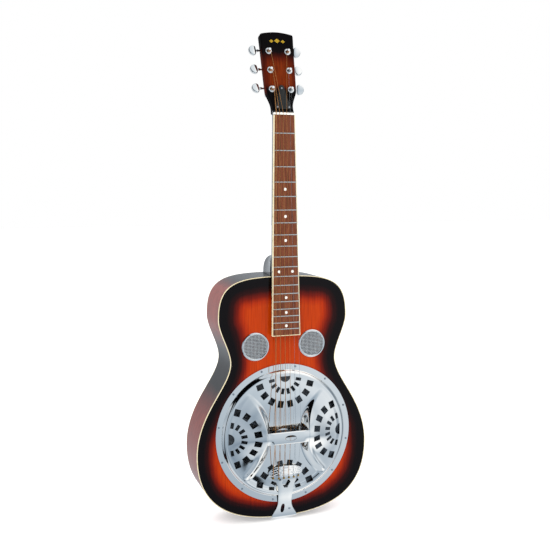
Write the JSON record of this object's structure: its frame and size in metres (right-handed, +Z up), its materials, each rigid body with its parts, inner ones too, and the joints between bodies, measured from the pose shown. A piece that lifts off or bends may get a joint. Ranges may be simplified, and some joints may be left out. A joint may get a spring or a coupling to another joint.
{
  "type": "resonator guitar",
  "caption": "Round-neck resonator guitar with a wooden body, pressed metal coverplate over a cone, and geared tuners.",
  "frame": {"origin": "centre of the end pin's outer face, the lowest point of the guitar standing upright", "axes": "+Z up the neck, +X towards the treble side, the front faces -Y"},
  "size_m": [0.365, 0.1275, 0.9916],
  "materials": {
    "burst": "gloss sunburst lacquer, orange centre to black edge",
    "side_wood": "gloss reddish-brown lacquer shaded black at the waist",
    "back_wood": "gloss reddish-brown lacquer shaded black at the edge",
    "binding": "cream, gloss",
    "inner_wood": "bare, matte",
    "chrome": "polished",
    "gauze": "woven wire, satin",
    "spun_aluminium": "spun, satin",
    "cast_aluminium": "cast, matte",
    "saddle_wood": "dark, satin",
    "steel": "drawn, bright",
    "brass": "turned",
    "neck_wood": "gloss black shading to reddish brown on the headstock face",
    "black_plastic": "gloss black",
    "rosewood": "satin, open grain",
    "bone": "satin white",
    "bronze": "wound wire"
  },
  "bodies": {
    "guitar": {"truss_rod_cover": "black_plastic", "tuner_bushing_1": "chrome", "tuner_housing_1": "chrome", "tuner_bushing_2": "chrome", "tuner_housing_2": "chrome", "tuner_bushing_3": "chrome", "tuner_housing_3": "chrome", "tuner_bushing_4": "chrome", "tuner_housing_4": "chrome", "tuner_bushing_5": "chrome", "tuner_housing_5": "chrome", "tuner_bushing_6": "chrome", "tuner_housing_6": "chrome", "neck": "neck_wood", "truss_rod": "steel", "fretboard": "rosewood", "fretboard_binding": "binding", "nut": "bone", "top": "burst", "back": "back_wood", "top_binding": "binding", "back_binding": "binding", "top_lining": "inner_wood", "back_lining": "inner_wood", "side_bass": "side_wood", "side_treble": "side_wood", "neck_block": "inner_wood", "end_block": "inner_wood", "soundwell": "inner_wood", "screen_ring_bass": "chrome", "screen_mesh_bass": "gauze", "screen_ring_treble": "chrome", "screen_mesh_treble": "gauze", "cone": "spun_aluminium", "spider": "cast_aluminium", "saddle_bass": "saddle_wood", "saddle_treble": "saddle_wood", "coverplate": "chrome", "tailpiece": "chrome", "end_pin": "chrome", "string_6": "bronze", "string_5": "bronze", "string_4": "bronze", "string_3": "bronze", "string_2": "steel", "string_1": "steel"},
    "post_1": {"tuner_post_1": "chrome"},
    "button_1": {"tuner_shaft_1": "chrome"},
    "post_2": {"tuner_post_2": "chrome"},
    "button_2": {"tuner_shaft_2": "chrome"},
    "post_3": {"tuner_post_3": "chrome"},
    "button_3": {"tuner_shaft_3": "chrome"},
    "post_4": {"tuner_post_4": "chrome"},
    "button_4": {"tuner_shaft_4": "chrome"},
    "post_5": {"tuner_post_5": "chrome"},
    "button_5": {"tuner_shaft_5": "chrome"},
    "post_6": {"tuner_post_6": "chrome"},
    "button_6": {"tuner_shaft_6": "chrome"},
    "rod_nut": {"truss_rod_nut": "brass"},
    "screw": {"tension_screw": "steel"}
  },
  "joints": [
    {"name": "tuner_button_1", "type": "hinge", "parent": "guitar", "child": "button_1", "pos_m": [-0.0198, -0.01266, 0.88041], "axis": [-1, 0, 0], "continuous": true},
    {"name": "tuner_post_1", "type": "hinge", "parent": "guitar", "child": "post_1", "pos_m": [-0.0198, -0.03398, 0.87734], "axis": [0, -0.9658, 0.2593], "continuous": true},
    {"name": "tuner_button_2", "type": "hinge", "parent": "guitar", "child": "button_2", "pos_m": [-0.0198, -0.00239, 0.91866], "axis": [-1, 0, 0], "continuous": true},
    {"name": "tuner_post_2", "type": "hinge", "parent": "guitar", "child": "post_2", "pos_m": [-0.0198, -0.02371, 0.91558], "axis": [0, -0.9658, 0.2593], "continuous": true},
    {"name": "tuner_button_3", "type": "hinge", "parent": "guitar", "child": "button_3", "pos_m": [-0.0198, 0.00788, 0.9569], "axis": [-1, 0, 0], "continuous": true},
    {"name": "tuner_post_3", "type": "hinge", "parent": "guitar", "child": "post_3", "pos_m": [-0.0198, -0.01345, 0.95383], "axis": [0, -0.9658, 0.2593], "continuous": true},
    {"name": "tuner_button_4", "type": "hinge", "parent": "guitar", "child": "button_4", "pos_m": [0.0198, -0.01266, 0.88041], "axis": [1, 0, 0], "continuous": true},
    {"name": "tuner_post_4", "type": "hinge", "parent": "guitar", "child": "post_4", "pos_m": [0.0198, -0.03398, 0.87734], "axis": [0, -0.9658, 0.2593], "continuous": true},
    {"name": "tuner_button_5", "type": "hinge", "parent": "guitar", "child": "button_5", "pos_m": [0.0198, -0.00239, 0.91866], "axis": [1, 0, 0], "continuous": true},
    {"name": "tuner_post_5", "type": "hinge", "parent": "guitar", "child": "post_5", "pos_m": [0.0198, -0.02371, 0.91558], "axis": [0, -0.9658, 0.2593], "continuous": true},
    {"name": "tuner_button_6", "type": "hinge", "parent": "guitar", "child": "button_6", "pos_m": [0.0198, 0.00788, 0.9569], "axis": [1, 0, 0], "continuous": true},
    {"name": "tuner_post_6", "type": "hinge", "parent": "guitar", "child": "post_6", "pos_m": [0.0198, -0.01345, 0.95383], "axis": [0, -0.9658, 0.2593], "continuous": true},
    {"name": "truss_rod_turn", "type": "hinge", "parent": "guitar", "child": "rod_nut", "pos_m": [0, -0.03739, 0.84207], "axis": [0, 0.025, 0.9997], "continuous": true},
    {"name": "tension_screw_turn", "type": "hinge", "parent": "guitar", "child": "screw", "pos_m": [0, -0.0475, 0.185], "axis": [0, -1, 0], "continuous": true}
  ],
  "couplings": [
    {"joint": "tuner_post_1", "follows": "tuner_button_1", "ratio": 0.06667},
    {"joint": "tuner_post_2", "follows": "tuner_button_2", "ratio": 0.06667},
    {"joint": "tuner_post_3", "follows": "tuner_button_3", "ratio": 0.06667},
    {"joint": "tuner_post_4", "follows": "tuner_button_4", "ratio": -0.06667},
    {"joint": "tuner_post_5", "follows": "tuner_button_5", "ratio": -0.06667},
    {"joint": "tuner_post_6", "follows": "tuner_button_6", "ratio": -0.06667}
  ]
}
